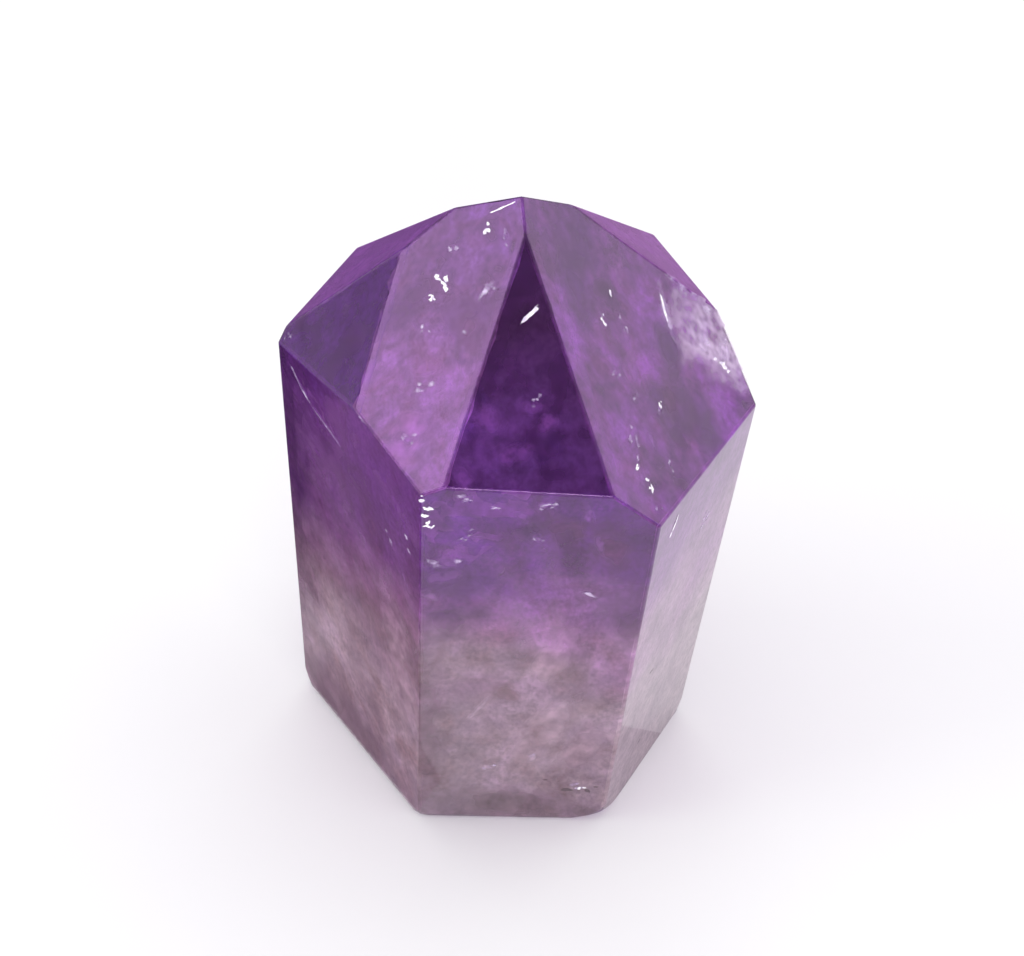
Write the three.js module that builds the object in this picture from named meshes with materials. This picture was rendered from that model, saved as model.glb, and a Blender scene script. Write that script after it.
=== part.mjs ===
// Polished amethyst point: one quartz crystal that stands upright on a sawn foot. Its six prism
// faces flare a little on their way up, and seven sloping faces close it in a short ridge that lies
// off the middle. Each face was ground flat on a wheel and polished, the arris round the foot is
// eased, and the corners of the foot are worn rounder still.
// Millimetres, +Z up. The crystal's front faces -Y, and the origin lies in the plane of the foot,
// under the middle of the crystal.
import * as THREE from "three";
import { ConvexGeometry } from "three/addons/geometries/ConvexGeometry.js";

// Prism faces. A bearing is the compass direction that a face looks in, from the front (0) round by
// the right-hand side (90). Reach is the distance from the growing axis to the face at the foot, and
// flare is how many degrees the face leans outwards on its way up.
const PRISM_FACES = [
  { name: "front", bearing: 2.5, reach: 11.1, flare: 9 },
  { name: "right", bearing: 64, reach: 12, flare: 7 },
  { name: "back right", bearing: 129.5, reach: 10.5, flare: 1 },
  { name: "back", bearing: 178.5, reach: 10.5, flare: 7 },
  { name: "back left", bearing: 234.5, reach: 12.1, flare: -0.5 },
  { name: "left", bearing: 306, reach: 11, flare: 6 },
];

// Tip faces. Slope is a face's steepness from level, and peak is the height at which the plane of
// the face crosses the growing axis.
const TIP_FACES = [
  { name: "front", bearing: 6.5, slope: 45.5, peak: 64.5 },
  { name: "right", bearing: 73.5, slope: 52, peak: 61 },
  { name: "back right", bearing: 122, slope: 51, peak: 59.3 },
  { name: "back", bearing: 187.5, slope: 59, peak: 54.2 },
  { name: "back left", bearing: 242, slope: 53, peak: 61.3 },
  { name: "far left", bearing: 291.5, slope: 54.5, peak: 66.5 },
  { name: "left", bearing: 313, slope: 45.5, peak: 62.5 },
];

// The eased arris round the foot: its radius, and the number of narrow flats that round it.
const FOOT_EASE_RADIUS = 0.7;
const FOOT_EASE_FLATS = 3;

// The worn corners of the foot: each is named by the two prism faces that meet over it, and rounded
// to a radius.
const FOOT_CORNERS = [
  { left: "front", right: "right", radius: 1.8 },
  { left: "right", right: "back right", radius: 1 },
  { left: "back right", right: "back", radius: 1 },
  { left: "back", right: "back left", radius: 1 },
  { left: "back left", right: "left", radius: 1.1 },
  { left: "left", right: "front", radius: 0.9 },
];

// Where the small flats of a worn corner look: how much of the left prism face's direction, of the
// right one's and of the foot's each of them takes.
const CORNER_FLATS = [
  { left: 1, right: 1, foot: 0.4 },
  { left: 1, right: 1, foot: 0.9 },
  { left: 1, right: 1, foot: 2 },
  { left: 2, right: 1, foot: 0.9 },
  { left: 1, right: 2, foot: 0.9 },
  { left: 2, right: 1, foot: 2.4 },
  { left: 1, right: 2, foot: 2.4 },
];

// Amethyst: a deep violet, glassy from the polish.
const AMETHYST_COLOR = 0x6a4a86;
const POLISH_ROUGHNESS = 0.08;

// Three planes closer to parallel than this have no corner, and a point nearer to a plane than this
// lies in it.
const PARALLEL = 1e-6;
const TOUCH = 1e-6;

const radians = THREE.MathUtils.degToRad;

// The outward direction of a face that looks along a bearing and is tilted up from level.
function facing(bearing, tiltUp) {
  const level = Math.cos(radians(tiltUp));
  return new THREE.Vector3(
    Math.sin(radians(bearing)) * level,
    -Math.cos(radians(bearing)) * level,
    Math.sin(radians(tiltUp)),
  );
}

// The plane that looks along an outward direction and passes through a point.
function planeThrough(outwards, point) {
  return new THREE.Plane().setFromNormalAndCoplanarPoint(outwards, point);
}

// The sawn foot, level and at the bottom.
const FOOT = planeThrough(new THREE.Vector3(0, 0, -1), new THREE.Vector3());

// The plane of a prism face, through its reach in the plane of the foot.
function prismPlane({ bearing, reach, flare }) {
  return planeThrough(facing(bearing, -flare), facing(bearing, 0).multiplyScalar(reach));
}

// The plane of a tip face, through its peak on the growing axis.
function tipPlane({ bearing, slope, peak }) {
  return planeThrough(facing(bearing, 90 - slope), new THREE.Vector3(0, 0, peak));
}

// The narrow flats that round the arris between the foot and one prism face. Each is tangent to an
// arc of the ease radius, and the arc touches both the foot and the prism face.
function footEasePlanes({ bearing, reach, flare }) {
  const lean = radians(flare);
  const arcReach = reach + FOOT_EASE_RADIUS * (Math.sin(lean) - 1) / Math.cos(lean);
  const arcCentre = facing(bearing, 0).multiplyScalar(arcReach).setZ(FOOT_EASE_RADIUS);
  return Array.from({ length: FOOT_EASE_FLATS }, (_, i) => {
    const share = (i + 1) / (FOOT_EASE_FLATS + 1);
    const outwards = facing(bearing, -THREE.MathUtils.lerp(flare, 90, share));
    return planeThrough(outwards, arcCentre.clone().addScaledVector(outwards, FOOT_EASE_RADIUS));
  });
}

// The small flats that round one corner of the foot, all tangent to a ball that touches the foot and
// the two prism faces.
function footCornerPlanes({ left, right, radius }) {
  const [leftFace, rightFace] = [left, right].map((name) => PRISM_FACES.find((face) => face.name === name));
  const sides = [prismPlane(leftFace), prismPlane(rightFace), FOOT];
  const [a, b, c] = sides.map((side) => new THREE.Plane(side.normal, side.constant + radius));
  const ballCentre = meetingPoint(a, b, c);
  return CORNER_FLATS.map((flat) => {
    const outwards = new THREE.Vector3()
      .addScaledVector(a.normal, flat.left)
      .addScaledVector(b.normal, flat.right)
      .addScaledVector(c.normal, flat.foot)
      .normalize();
    return planeThrough(outwards, ballCentre.clone().addScaledVector(outwards, radius));
  });
}

// The point where three planes meet, or null where they don't meet in one point.
function meetingPoint(a, b, c) {
  const acrossBC = new THREE.Vector3().crossVectors(b.normal, c.normal);
  const acrossCA = new THREE.Vector3().crossVectors(c.normal, a.normal);
  const acrossAB = new THREE.Vector3().crossVectors(a.normal, b.normal);
  const spread = a.normal.dot(acrossBC);
  if (Math.abs(spread) < PARALLEL) {
    return null;
  }
  return acrossBC.multiplyScalar(-a.constant)
    .addScaledVector(acrossCA, -b.constant)
    .addScaledVector(acrossAB, -c.constant)
    .divideScalar(spread);
}

// The corners of the stone that the planes enclose: each point where three of them meet, unless
// another plane has ground it away.
function cornersOf(planes) {
  const corners = [];
  planes.forEach((a, i) => {
    planes.slice(i + 1).forEach((b, j) => {
      planes.slice(i + j + 2).forEach((c) => {
        const corner = meetingPoint(a, b, c);
        if (corner && planes.every((plane) => plane.distanceToPoint(corner) < TOUCH)) {
          corners.push(corner);
        }
      });
    });
  });
  return corners;
}

// The crystal, with its middle over the origin.
function crystal() {
  const corners = cornersOf([
    FOOT,
    ...PRISM_FACES.flatMap(footEasePlanes),
    ...FOOT_CORNERS.flatMap(footCornerPlanes),
    ...PRISM_FACES.map(prismPlane),
    ...TIP_FACES.map(tipPlane),
  ]);
  const middle = new THREE.Box3().setFromPoints(corners).getCenter(new THREE.Vector3());
  return new ConvexGeometry(corners).translate(-middle.x, -middle.y, 0);
}

const amethyst = new THREE.MeshStandardMaterial({
  color: AMETHYST_COLOR,
  roughness: POLISH_ROUGHNESS,
  metalness: 0,
});

const point = new THREE.Mesh(crystal(), amethyst);
point.name = "amethyst_point";

const part = new THREE.Group();
part.add(point);

export default part;
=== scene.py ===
"""Polished amethyst point, standing on a pale floor under soft studio light. Metres, +Z up."""
import math
import random

import bpy
from mathutils import Euler, Matrix, Vector


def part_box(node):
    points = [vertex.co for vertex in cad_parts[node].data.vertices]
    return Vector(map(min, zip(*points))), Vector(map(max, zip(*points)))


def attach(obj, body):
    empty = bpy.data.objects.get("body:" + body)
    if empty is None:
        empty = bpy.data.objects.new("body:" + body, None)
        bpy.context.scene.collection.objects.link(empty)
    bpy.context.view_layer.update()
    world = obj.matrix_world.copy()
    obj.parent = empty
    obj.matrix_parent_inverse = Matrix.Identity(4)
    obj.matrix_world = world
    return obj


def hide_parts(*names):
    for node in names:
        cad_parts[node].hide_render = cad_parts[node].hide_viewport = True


MM = 0.001

# The camera stands where the photograph's did beside this crystal: 50 degrees up, a long way off, and
# rolled a little. The lens is longer, so that the one crystal fills the picture.
CAMERA_ELEVATION = math.radians(50)
CAMERA_ROLL = math.radians(3.1)
CAMERA_DISTANCE = 680 * MM
CAMERA_LENS = 335
AIM_HEIGHT_SHARE = 0.47

# The way that each face looks, which is enough to find it on the crystal.
FRONT = (0.04, -0.99, -0.16)
LEFT = (-0.80, -0.58, -0.10)
RIGHT = (0.89, -0.43, -0.12)
TIP_FRONT = (0.08, -0.71, 0.70)
TIP_LEFT = (-0.52, -0.49, 0.70)
TIP_RIGHT = (0.76, -0.22, 0.61)
TIP_FAR_LEFT = (-0.76, -0.30, 0.58)
TIP_BACK_LEFT = (-0.70, 0.38, 0.60)
TIP_BACK_RIGHT = (0.66, 0.41, 0.63)

# How far the wheel softened the edges, and the height up to which the worn foot is round already.
EDGE_POLISH = 0.18 * MM
WORN_FOOT = 2.5 * MM

# What the stone holds stays this far under its skin. A crack that comes through lies this far over it.
SKIN = 0.35 * MM
OVER_SKIN = 0.015 * MM

# A bent crack's ribbon is this thick.
RIBBON_LIFT = 0.02

# The shortest and the narrowest flake of a cluster, in mm.
FLAKE_LENGTH = 0.3
FLAKE_WIDTH = 0.22

# A grain is this much narrower than it is long, this thick, and this far under the skin.
GRAIN_WIDTH_SHARE = 0.6
GRAIN_THICKNESS = 0.25 * MM
GRAIN_DEPTH = 0.3 * MM

# The cells along a side of a sheet that goes through the stone, and the waves that it is bent in.
SHEET_CELLS = 44
BOW_WAVE = 14 * MM
RIPPLE_WAVE = 4 * MM
RIPPLE_DEPTH = 0.3 * MM

# Cloudy sheets in the foot: middle, lean from upright and turn about the height in degrees, and size.
CLOUDS = (
    ((2, 1, 12), 74, 75, 29),
    ((-3, 2, 15), 62, 140, 28),
    ((4, 0, 19), 50, 205, 28),
    ((-2, -1, 8), 25, 300, 28),
)

# Healed cracks in the violet part, given the same way.
HEALED_CRACKS = (
    ((-2, 0, 40), 55, 20, 30),
    ((4, 1, 38), 62, 120, 30),
    ((0, 0, 33), 30, 235, 32),
)

# Cracks that lie open, painted white: the glints that they flash are painted highlights. Face, x and z on
# it, length and width in mm, and turn on the face in degrees.
CRACKS_WITH_PAINTED_GLINTS = (
    (TIP_LEFT, -5.8, 53.9, 1.6, 0.5, 12),
    (TIP_LEFT, -6.2, 53.0, 1.2, 0.4, 62),
    (TIP_LEFT, -2.6, 57.5, 0.8, 0.5, 118),
    (TIP_RIGHT, 5.7, 51.3, 0.9, 0.4, 48),
    (TIP_RIGHT, 10.0, 45.2, 0.4, 0.3, 40),
    (TIP_RIGHT, 8.6, 44.9, 0.5, 0.25, 10),
    (TIP_RIGHT, 9.4, 43.8, 1.2, 0.5, 100),
    (TIP_RIGHT, 14.2, 42.4, 1.6, 0.7, 118),
    (FRONT, -5.9, 45.0, 1.0, 0.8, 10),
    (FRONT, -5.7, 43.3, 1.4, 0.6, 90),
    (FRONT, -5.6, 41.6, 1.6, 0.5, 95),
    (RIGHT, 11.5, 38.2, 1.7, 0.6, 68),
    (FRONT, 6.4, 4.9, 0.8, 0.4, 10),
)

# Fainter lilac flecks under the skin, given the same way.
LILAC_FLECKS = (
    (TIP_LEFT, -1.3, 57.8, 1.0, 0.4, 130),
    (TIP_LEFT, -5.0, 55.6, 0.9, 0.6, 60),
    (TIP_LEFT, -2.4, 55.2, 1.8, 0.6, 60),
    (TIP_LEFT, -6.6, 51.5, 0.8, 0.6, 0),
    (TIP_LEFT, -4.1, 52.8, 0.9, 0.5, 30),
    (TIP_LEFT, -6.4, 49.4, 1.5, 0.6, 36),
    (TIP_LEFT, -7.4, 46.9, 1.2, 0.8, 20),
    (TIP_FRONT, 1.5, 50.4, 0.8, 0.5, 20),
    (TIP_RIGHT, 5.7, 51.3, 1.0, 0.5, 48),
    (TIP_RIGHT, 7.1, 49.9, 1.2, 0.7, 60),
    (TIP_RIGHT, 6.8, 48.9, 0.9, 0.5, 100),
    (TIP_RIGHT, 8.2, 47.1, 0.8, 0.5, 20),
    (TIP_RIGHT, 10.0, 45.1, 0.7, 0.6, 40),
    (TIP_RIGHT, 8.6, 45.0, 1.3, 0.4, 10),
    (TIP_RIGHT, 11.0, 42.7, 0.9, 0.5, 90),
    (TIP_RIGHT, 10.3, 42.3, 0.9, 0.4, -30),
    (TIP_RIGHT, 8.2, 46.0, 1.6, 1.0, 60),
    (TIP_RIGHT, 11.8, 46.4, 4.0, 2.4, 116),
    (TIP_RIGHT, 13.6, 43.6, 5.0, 3.0, 118),
    (TIP_FAR_LEFT, -16.2, 43.8, 0.8, 0.5, 30),
    (TIP_FAR_LEFT, -11.7, 45.5, 1.0, 0.5, 110),
    (LEFT, -8.4, 34.8, 1.4, 0.6, 110),
    (LEFT, -7.0, 36.8, 1.8, 0.8, 110),
    (FRONT, -3.1, 45.0, 1.4, 1.2, 100),
    (FRONT, -2.8, 40.2, 1.6, 0.5, 60),
    (FRONT, -0.8, 44.1, 1.2, 0.6, 40),
    (FRONT, 2.0, 39.8, 0.9, 0.4, 0),
    (FRONT, 2.6, 44.2, 1.2, 0.5, 20),
    (FRONT, 6.0, 32.3, 1.5, 0.5, -34),
    (FRONT, -4.5, 36.4, 2.6, 1.2, 8),
    (FRONT, -0.5, 7.8, 1.0, 0.7, 20),
    (FRONT, 2.7, 9.3, 0.8, 0.5, 120),
    (FRONT, 6.3, 5.3, 1.6, 0.9, 20),
    (RIGHT, 13.9, 31.8, 2.6, 0.8, 80),
)

# Hazy patches just under a face, some of them painted light or shade where so said: face, x and z of the
# middle, length, width, turn in degrees, and depth.
# The hazes under the left and right tip faces are partly painted sheen, and that under the front triangle
# partly painted shade.
LEFT_TIP_HAZE_AND_SHEEN = ("haze_under_left_tip_face", TIP_LEFT, -5.2, 52.4, 34, 24, 60, 0.2)
RIGHT_TIP_HAZE_AND_SHEEN = ("haze_under_right_tip_face", TIP_RIGHT, 9.0, 48.5, 40, 34, 60, 0.25)
FRONT_TIP_HAZE_AND_SHADE = ("haze_under_front_triangle", TIP_FRONT, 1.0, 50.5, 24, 24, 0, 0.15)
FRONT_HAZE = ("haze_under_front_face", FRONT, 1.0, 22.0, 62, 30, 90, 0.25)
LEFT_HAZE = ("haze_under_left_face", LEFT, -10.0, 20.0, 62, 32, 90, 0.3)
RIGHT_HAZE = ("haze_under_right_face", RIGHT, 11.5, 18.0, 62, 32, 90, 0.3)
FAR_LEFT_HAZE = ("haze_under_far_left_tip_face", TIP_FAR_LEFT, -12.5, 45.5, 30, 30, 0, 0.3)
CORNER_VEIL = ("veil_in_front_corner", FRONT, -5.4, 40.5, 26, 9.5, 57, 0.25)
FEATHERS = (
    ("feather_in_left_face", LEFT, -9.0, 40.2, 10, 3.4, -28, 0.5),
    ("feather_in_front_middle", FRONT, 1.6, 33.8, 12, 8, 25, 0.4),
    ("feather_in_front_triangle", TIP_FRONT, -1.6, 48.8, 9, 6, 55, 0.5),
    ("feather_in_right_tip_face", TIP_RIGHT, 7.3, 48.9, 13, 4.5, 100, 0.25),
    ("feather_by_right_flank", TIP_RIGHT, 8.6, 44.6, 9, 3.5, 80, 0.25),
    ("feather_below_crest", TIP_RIGHT, 6.2, 52.8, 9, 3, 40, 0.25),
    ("feather_in_front_corner", FRONT, -4.2, 37.4, 7, 3.6, 35, 0.15),
    ("feather_at_front_edge", FRONT, -4.9, 34.2, 6, 2.2, 20, 0.15),
    ("feather_in_left_tip_face", TIP_LEFT, -6.6, 49.6, 9, 4, 50, 0.2),
    ("soft_streak_in_left_face", LEFT, -13.8, 40.4, 10, 2.6, -26, 0.15),
)
BRUSHED = (
    ("brushed_feather_in_left_face", LEFT, -9.0, 39.8, 11, 3.0, 101, 0.3),
    ("brushed_feather_by_front_edge", LEFT, -7.4, 33.0, 9, 2.0, 97, 0.3),
)
# Painted highlights: light bands along the edges of the front triangle and along the left tip face's outer
# rim, where the softened edges catch the light.
PAINTED_EDGE_HIGHLIGHTS = (
    ("pale_band_right_of_triangle", TIP_RIGHT, 5.1, 50.0, 17, 0.7, 56.7, 0.1),
    ("pale_band_left_of_triangle", TIP_LEFT, -2.6, 52.35, 18, 0.5, 109.5, 0.1),
    ("pale_band_on_left_rim", TIP_LEFT, -9.6, 50.0, 11, 0.5, 111.4, 0.1),
)
# Painted shade: darker sheets in the front face, along the feet of the front and left faces, and at the top
# and right of the right tip face.
PAINTED_SHADES = (
    ("shade_in_front_right", FRONT, 8.8, 33.5, 24, 7, 87, 0.2),
    ("shade_in_front_left", FRONT, -3.6, 33.6, 9, 6, 20, 0.2),
    ("shade_in_front_foot", FRONT, 0.8, 1.4, 26, 7, 0, 0.15),
    ("shade_in_left_foot", LEFT, -12.2, 2.2, 24, 9, 0, 0.15),
    ("shade_in_right_tip_face", TIP_RIGHT, 11.8, 43.4, 12, 5, 118, 0.2),
    ("shade_by_crest", TIP_RIGHT, 3.2, 55.8, 10, 7, 60, 0.2),
)
FRONT_WISPS = (
    ("wisp_in_front_foot", FRONT, 4.0, 13.9, 15, 5, 64, 0.1),
    ("wisp_in_front_middle", FRONT, 3.8, 23.6, 13, 4, 71, 0.1),
    ("wisp_by_front_foot", FRONT, 6.3, 10.5, 9, 6, 70, 0.1),
    ("wisp_in_left_face", LEFT, -7.4, 20.5, 22, 6, 92, 0.1),
    ("wisp_in_left_tip_face", TIP_LEFT, -7.4, 46.8, 8, 5, 60, 0.1),
)
TRIANGLE_CLOUDS = (
    ("cloud_in_triangle_left", TIP_FRONT, -2.5, 50.0, 7, 4.5, 60, 0.15),
    ("cloud_in_triangle_foot", TIP_FRONT, 0.2, 47.9, 9, 4.5, 10, 0.15),
)
BACK_TIP_HAZES = (
    ("haze_under_back_left_tip_face", TIP_BACK_LEFT, 24, 24, 0, 0.2),
    ("haze_under_back_right_tip_face", TIP_BACK_RIGHT, 24, 24, 0, 0.2),
)

# Soft lilac spots: face, x and z in mm, length, width and turn in degrees.
SOFT_SPOTS = (
    (FRONT, -3.3, 45.1, 2.0, 1.6, 2),
    (FRONT, -2.2, 39.9, 1.9, 0.8, 16),
    (FRONT, -4.2, 36.3, 2.8, 2.0, 163),
    (FRONT, -5.2, 31.6, 2.2, 1.2, 110),
    (FRONT, 0.9, 42.6, 2.4, 1.2, 116),
    (FRONT, 2.0, 39.8, 1.6, 1.0, 130),
    (FRONT, 2.4, 44.4, 2.2, 0.8, 26),
    (FRONT, 5.5, 43.0, 4.4, 1.2, 94),
    (FRONT, 6.3, 39.1, 4.6, 1.0, 100),
    (FRONT, -0.5, 7.6, 1.8, 1.3, 130),
    (FRONT, 2.6, 9.1, 2.2, 0.9, 59),
    (FRONT, -1.4, 16.3, 4.6, 0.7, 66),
    (TIP_RIGHT, 7.3, 49.5, 3.6, 1.3, 63),
    (TIP_RIGHT, 8.0, 47.8, 4.0, 1.5, 56),
    (TIP_RIGHT, 9.5, 44.8, 3.0, 0.8, 66),
    (TIP_RIGHT, 5.4, 51.5, 1.6, 0.8, 112),
    (TIP_RIGHT, 8.7, 44.6, 2.2, 1.4, 102),
    (TIP_RIGHT, 10.0, 45.1, 1.1, 0.8, 83),
    (TIP_RIGHT, 2.8, 54.5, 1.8, 0.6, 45),
    (TIP_LEFT, -7.9, 48.8, 2.0, 0.5, 76),
    (TIP_LEFT, -6.4, 49.9, 2.5, 0.5, 43),
    (TIP_LEFT, -4.9, 50.4, 2.1, 0.5, 0),
    (TIP_LEFT, -7.3, 51.4, 1.1, 0.6, -13),
    (TIP_LEFT, -5.4, 52.2, 1.1, 0.6, -13),
    (TIP_LEFT, -7.4, 46.8, 1.1, 0.7, 21),
    (TIP_LEFT, -5.0, 55.6, 1.1, 0.8, -16),
    (TIP_LEFT, -1.3, 57.9, 1.1, 0.7, -13),
    (TIP_LEFT, -10.8, 45.9, 1.8, 1.0, 4),
    (LEFT, -15.0, 40.8, 3.1, 1.0, 149),
    (LEFT, -13.8, 39.9, 2.4, 1.0, 164),
    (LEFT, -12.5, 39.3, 2.6, 1.1, 161),
    (TIP_FRONT, 1.3, 50.1, 2.2, 1.4, 178),
    (TIP_FRONT, -3.4, 46.7, 3.0, 1.8, 129),
    (TIP_FRONT, -1.9, 49.6, 3.6, 2.8, 133),
    (TIP_FRONT, 0.0, 47.8, 4.0, 2.4, 20),
    (TIP_FRONT, 2.3, 49.4, 3.0, 2.0, 60),
)

# Dark violet patches and brownish ones, given the same way. The dark ones are partly deeper violet blotches
# in the stone and partly painted shade: along the left edges of the front and left faces, at the front foot,
# and at the top and right of the right tip face.
DARK_BLOTCHES_AND_SHADE = (
    (TIP_RIGHT, 3.9, 53.7, 10.0, 5.0, 57),
    (TIP_RIGHT, 13.3, 41.6, 8.0, 4.4, 80),
    (TIP_RIGHT, 10.3, 46.4, 6.0, 4.0, 60),
    (FRONT, -4.6, 27.5, 12.0, 8.0, 40),
    (FRONT, -5.4, 13.0, 32.0, 5.0, 91),
    (FRONT, -0.6, 2.6, 14.0, 7.0, 0),
    (FRONT, 8.8, 28.5, 10.0, 4.4, 100),
    (FRONT, 1.6, 40.6, 6.0, 3.0, 101),
    (LEFT, -15.4, 22.0, 56.0, 10.0, 88),
    (TIP_LEFT, -3.4, 53.8, 7.0, 5.0, 60),
    (TIP_LEFT, -8.6, 51.2, 8.0, 4.0, 80),
)
BROWN_PATCHES = (
    (FRONT, 7.3, 38.6, 10.0, 4.4, 93),
    (FRONT, 4.2, 40.8, 6.0, 6.0, 0),
    (FRONT, 0.5, 18.3, 4.6, 3.4, 110),
    (TIP_RIGHT, 6.2, 50.4, 5.0, 3.2, 92),
    (TIP_RIGHT, 10.6, 44.8, 5.0, 3.0, 60),
    (TIP_LEFT, -3.3, 53.0, 6.0, 3.2, 154),
    (LEFT, -9.6, 33.0, 12.0, 4.4, 97),
)

CRAZING = (
    ("crazed_right_corner_surface", TIP_RIGHT, 14.0, 43.2, 14, 8, 112, -0.015),
    ("crazed_right_corner", TIP_RIGHT, 14.2, 42.8, 15, 10, 112, 0.4),
)

# Long narrow cracks, given the same way. The white ones are painted highlights too: the glints that they
# flash.
STREAKS_WITH_PAINTED_GLINTS = (
    (TIP_RIGHT, 10.0, 47.6, 3.0, 0.3, 54),
    (TIP_RIGHT, 6.1, 51.6, 0.7, 0.3, 48),
    (TIP_FRONT, 0.7, 54.7, 2.8, 0.44, 40),
    (TIP_LEFT, -5.3, 54.2, 1.2, 0.5, -20),
    (RIGHT, 11.5, 38.2, 1.5, 0.6, 68),
)
LILAC_STREAKS = (
    (TIP_RIGHT, 10.1, 47.5, 4.0, 0.9, 54),
    (TIP_LEFT, -2.5, 55.1, 2.2, 0.6, 82),
    (FRONT, 6.0, 32.3, 1.9, 0.5, -34),
    (FRONT, 2.6, 44.4, 1.6, 0.4, 15),
)

# Long bent cracks, and a painted highlight along the crest: points along them as x and z in mm on their
# face.
LEFT_STREAK = ((-15.9, 42.0), (-15.1, 40.6), (-14.0, 39.7), (-12.9, 39.4), (-12.0, 39.0))
# Painted highlight: a thin white line along the crest, where the softened edge catches the light.
PAINTED_CREST_HIGHLIGHT = ((-2.3, 58.35), (-1.5, 58.95), (-0.7, 59.55))

# Dark grains near the foot: face, x and z on it, and size in mm.
DARK_GRAINS = (
    (FRONT, 0.3, 18.6, 1.1),
    (FRONT, 0.9, 17.6, 0.6),
    (FRONT, 5.2, 4.4, 1.0),
    (FRONT, 6.7, 4.3, 0.7),
    (FRONT, 7.3, 4.9, 0.5),
    (FRONT, -3.2, 3.1, 0.4),
    (RIGHT, 10.8, 16.0, 0.7),
    (RIGHT, 10.3, 5.4, 0.6),
    (FRONT, 3.6, 5.8, 0.45),
)

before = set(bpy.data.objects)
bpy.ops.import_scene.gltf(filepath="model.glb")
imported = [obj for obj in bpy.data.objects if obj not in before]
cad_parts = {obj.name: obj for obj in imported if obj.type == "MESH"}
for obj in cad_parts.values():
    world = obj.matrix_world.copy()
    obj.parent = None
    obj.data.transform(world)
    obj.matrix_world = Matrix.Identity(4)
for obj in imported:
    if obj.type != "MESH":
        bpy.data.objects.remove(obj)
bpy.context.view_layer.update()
stone_low, stone_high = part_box("amethyst_point")
STONE_HEIGHT = stone_high.z - stone_low.z


def deselect_all():
    bpy.ops.object.select_all(action="DESELECT")


def take_up(piece):
    """Makes one object the only one selected, and the active one."""
    deselect_all()
    piece.select_set(True)
    bpy.context.view_layer.objects.active = piece


def settle(piece):
    """Puts an object's place, turn and scale into its mesh."""
    take_up(piece)
    bpy.ops.object.transform_apply(location=True, rotation=True, scale=True)


def finish(piece, name, material):
    """Names a piece, gives it its one material and makes it part of the object."""
    piece.name = name
    piece.data.name = name
    piece.data.materials.clear()
    piece.data.materials.append(material)
    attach(piece, "root")
    return piece


def whole_faces():
    """A copy of the frame's solid with each flat face made whole."""
    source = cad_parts["amethyst_point"]
    stone = bpy.data.objects.new("polished_crystal", source.data.copy())
    bpy.context.scene.collection.objects.link(stone)
    take_up(stone)
    bpy.ops.object.mode_set(mode="EDIT")
    bpy.ops.mesh.select_all(action="SELECT")
    bpy.ops.mesh.remove_doubles(threshold=0.001 * MM)
    bpy.ops.mesh.dissolve_limited(angle_limit=math.radians(0.5))
    bpy.ops.object.mode_set(mode="OBJECT")
    return stone


def face_planes(stone):
    """Middle and outward direction of each flat face."""
    return [(face.center.copy(), face.normal.copy()) for face in stone.data.polygons]


def polish(stone):
    """Softens the edges a little, as the polishing wheel does, and keeps the faces flat. The worn foot is
    round already."""
    take_up(stone)
    bpy.ops.object.mode_set(mode="EDIT")
    bpy.ops.mesh.select_mode(type="EDGE")
    bpy.ops.mesh.select_all(action="DESELECT")
    bpy.ops.mesh.edges_select_sharp(sharpness=math.radians(5))
    bpy.ops.object.mode_set(mode="OBJECT")
    corners = stone.data.vertices
    for edge in stone.data.edges:
        first, second = edge.vertices
        if corners[first].co.z + corners[second].co.z < 2 * WORN_FOOT:
            edge.select = False
    bpy.ops.object.mode_set(mode="EDIT")
    bpy.ops.mesh.bevel(offset=EDGE_POLISH, segments=2, clamp_overlap=False)
    bpy.ops.mesh.select_mode(type="VERT")
    bpy.ops.object.mode_set(mode="OBJECT")
    bpy.ops.object.shade_smooth()
    normals = stone.modifiers.new("flat faces", "WEIGHTED_NORMAL")
    normals.weight = 100
    bpy.ops.object.modifier_apply(modifier=normals.name)


def cut_to_stone(sheet, inset):
    """Cuts a sheet off where it would come nearer to a face of the stone than the inset."""
    take_up(sheet)
    bpy.ops.object.mode_set(mode="EDIT")
    for middle, outwards in faces:
        bpy.ops.mesh.select_all(action="SELECT")
        bpy.ops.mesh.bisect(
            plane_co=middle - outwards * inset, plane_no=outwards, clear_outer=True, use_fill=False)
    bpy.ops.object.mode_set(mode="OBJECT")


def ripple(sheet, name, wave, depth):
    """Bends a sheet in waves of one length and depth."""
    pattern = bpy.data.textures.new(name, "CLOUDS")
    pattern.noise_scale = wave
    pattern.noise_depth = 1
    push = sheet.modifiers.new(name, "DISPLACE")
    push.texture = pattern
    push.texture_coords = "LOCAL"
    push.direction = "NORMAL"
    push.mid_level = 0.5
    push.strength = depth
    bpy.ops.object.modifier_apply(modifier=push.name)


def inner_sheet(name, material, middle, lean, turn, size, bow):
    """A thin curved sheet inside the stone, ending just under its skin."""
    deselect_all()
    bpy.ops.mesh.primitive_grid_add(
        x_subdivisions=SHEET_CELLS,
        y_subdivisions=SHEET_CELLS,
        size=size * MM,
        location=Vector(middle) * MM,
        rotation=Euler((math.radians(lean), 0, math.radians(turn))),
    )
    sheet = bpy.context.object
    settle(sheet)
    ripple(sheet, name + " bow", BOW_WAVE, bow * MM)
    ripple(sheet, name + " ripple", RIPPLE_WAVE, RIPPLE_DEPTH)
    cut_to_stone(sheet, SKIN)
    take_up(sheet)
    bpy.ops.object.shade_smooth()
    sheet.visible_shadow = False
    return finish(sheet, name, material)


def face_looking(direction):
    """Middle and outward direction of the face that looks in about a direction."""
    return max(faces, key=lambda face: face[1].dot(Vector(direction)))


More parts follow.
